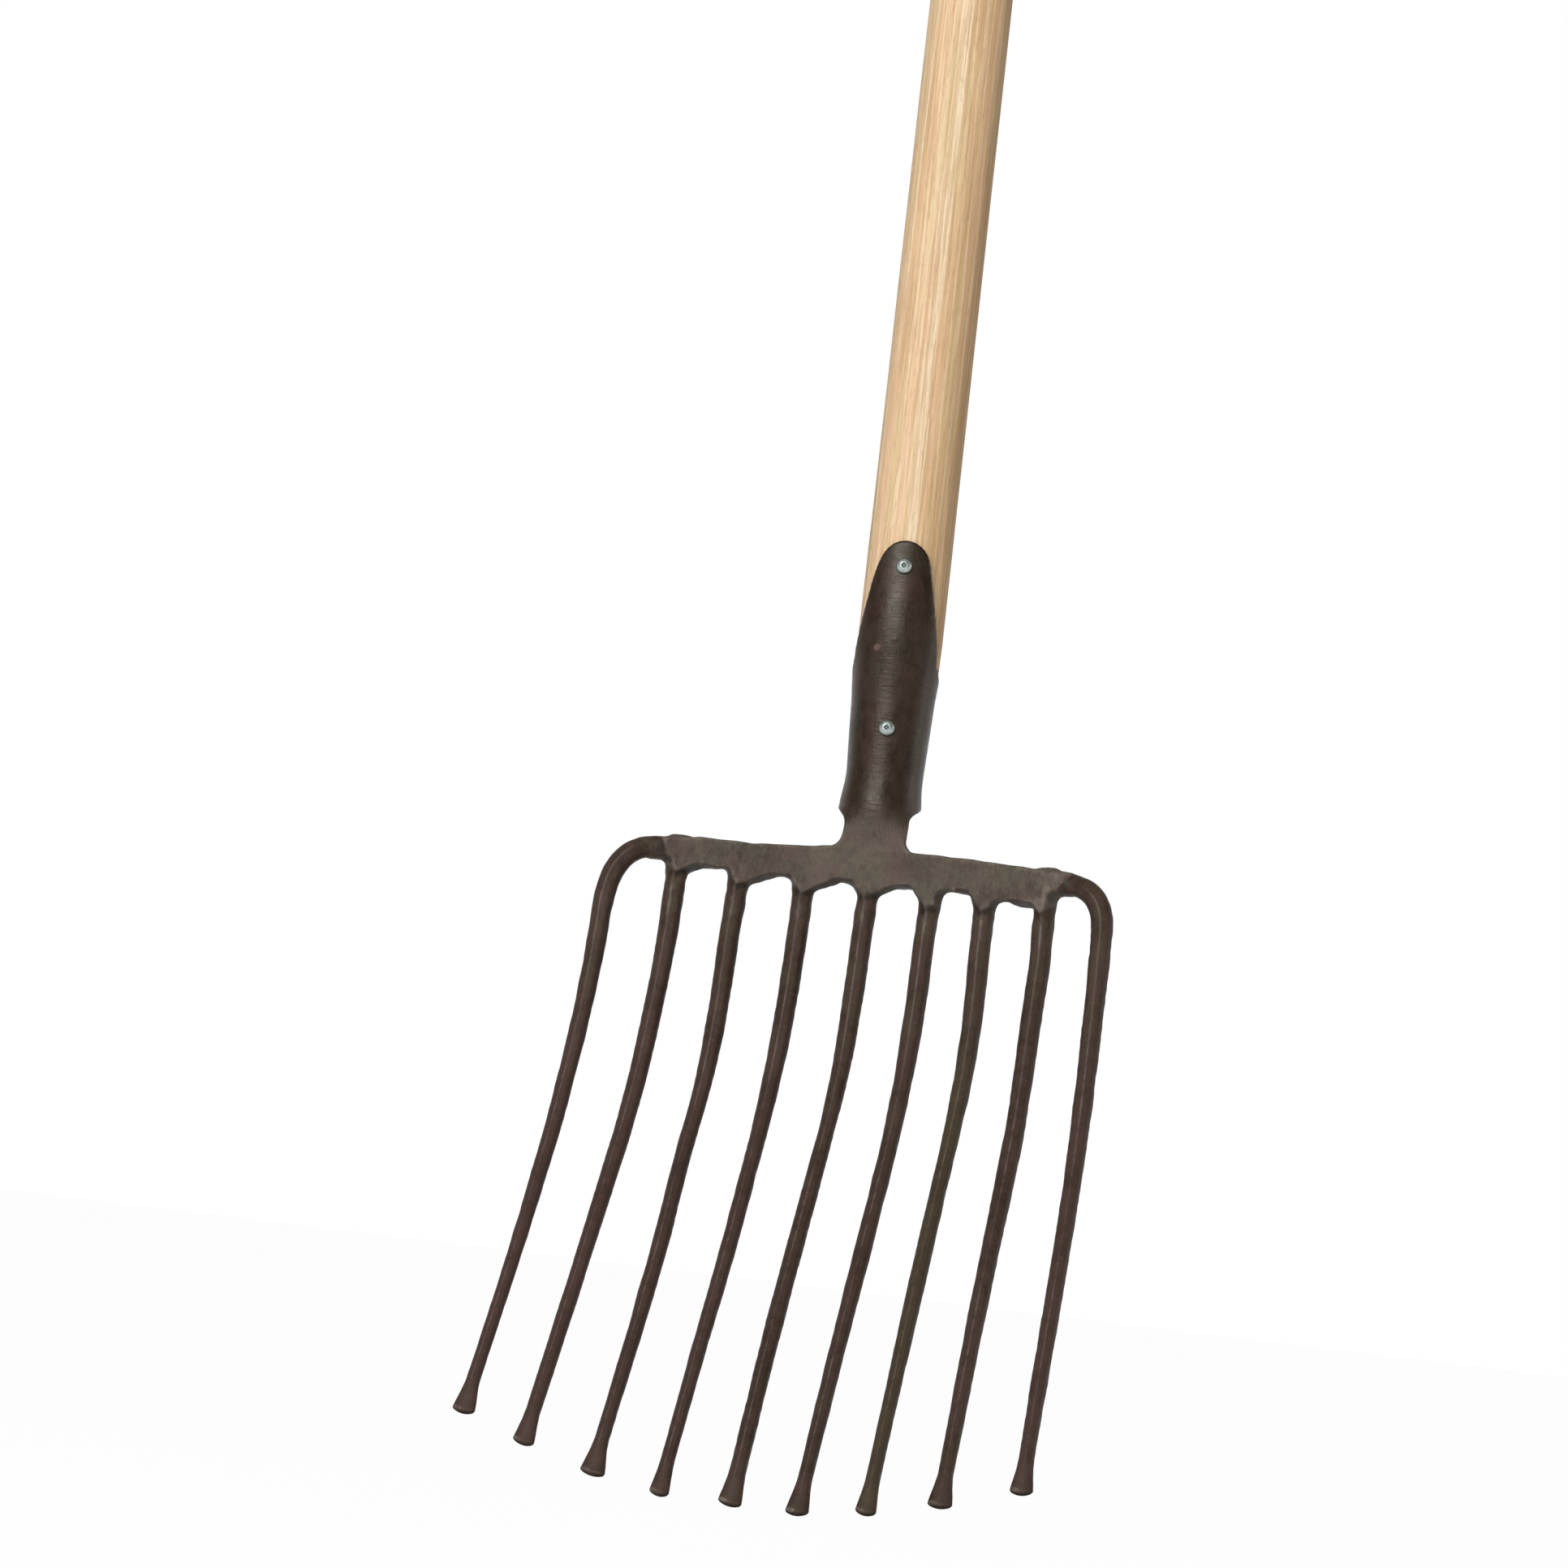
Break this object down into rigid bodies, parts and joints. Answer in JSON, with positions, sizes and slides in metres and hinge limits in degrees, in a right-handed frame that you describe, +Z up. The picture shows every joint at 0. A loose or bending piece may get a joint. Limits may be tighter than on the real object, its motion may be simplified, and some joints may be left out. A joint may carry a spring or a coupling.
{
  "type": "stone fork",
  "caption": "Long-handled hand fork with round blunt tines set in a dished forged crossbar, on a strapped socket and a straight round ash shaft.",
  "frame": {"origin": "centre of the bounding box's bottom face, level with the lowest tine tip", "axes": "+Z up along the shaft towards its butt, -Y towards the front (the hollow side the tines curve to), +X to the right seen from the front"},
  "size_m": [0.2302, 0.1908, 1.6564],
  "materials": {
    "ash_wood": "turned straight-grained ash, sanded, thin clear lacquer",
    "lacquered_forging": "hot-forged steel with its scale, grey-brown, satin clear lacquer",
    "lacquered_rod": "forged round steel rod, dark brown, satin clear lacquer",
    "zinc_plating": "bright bluish zinc plating"
  },
  "bodies": {
    "root": {"handle": "ash_wood", "fork_head": "lacquered_forging", "tine_1": "lacquered_rod", "tine_2": "lacquered_rod", "tine_3": "lacquered_rod", "tine_4": "lacquered_rod", "tine_5": "lacquered_rod", "tine_6": "lacquered_rod", "tine_7": "lacquered_rod", "tine_8": "lacquered_rod", "tine_9": "lacquered_rod", "strap_screw": "zinc_plating", "socket_screw": "zinc_plating"}
  },
  "joints": []
}
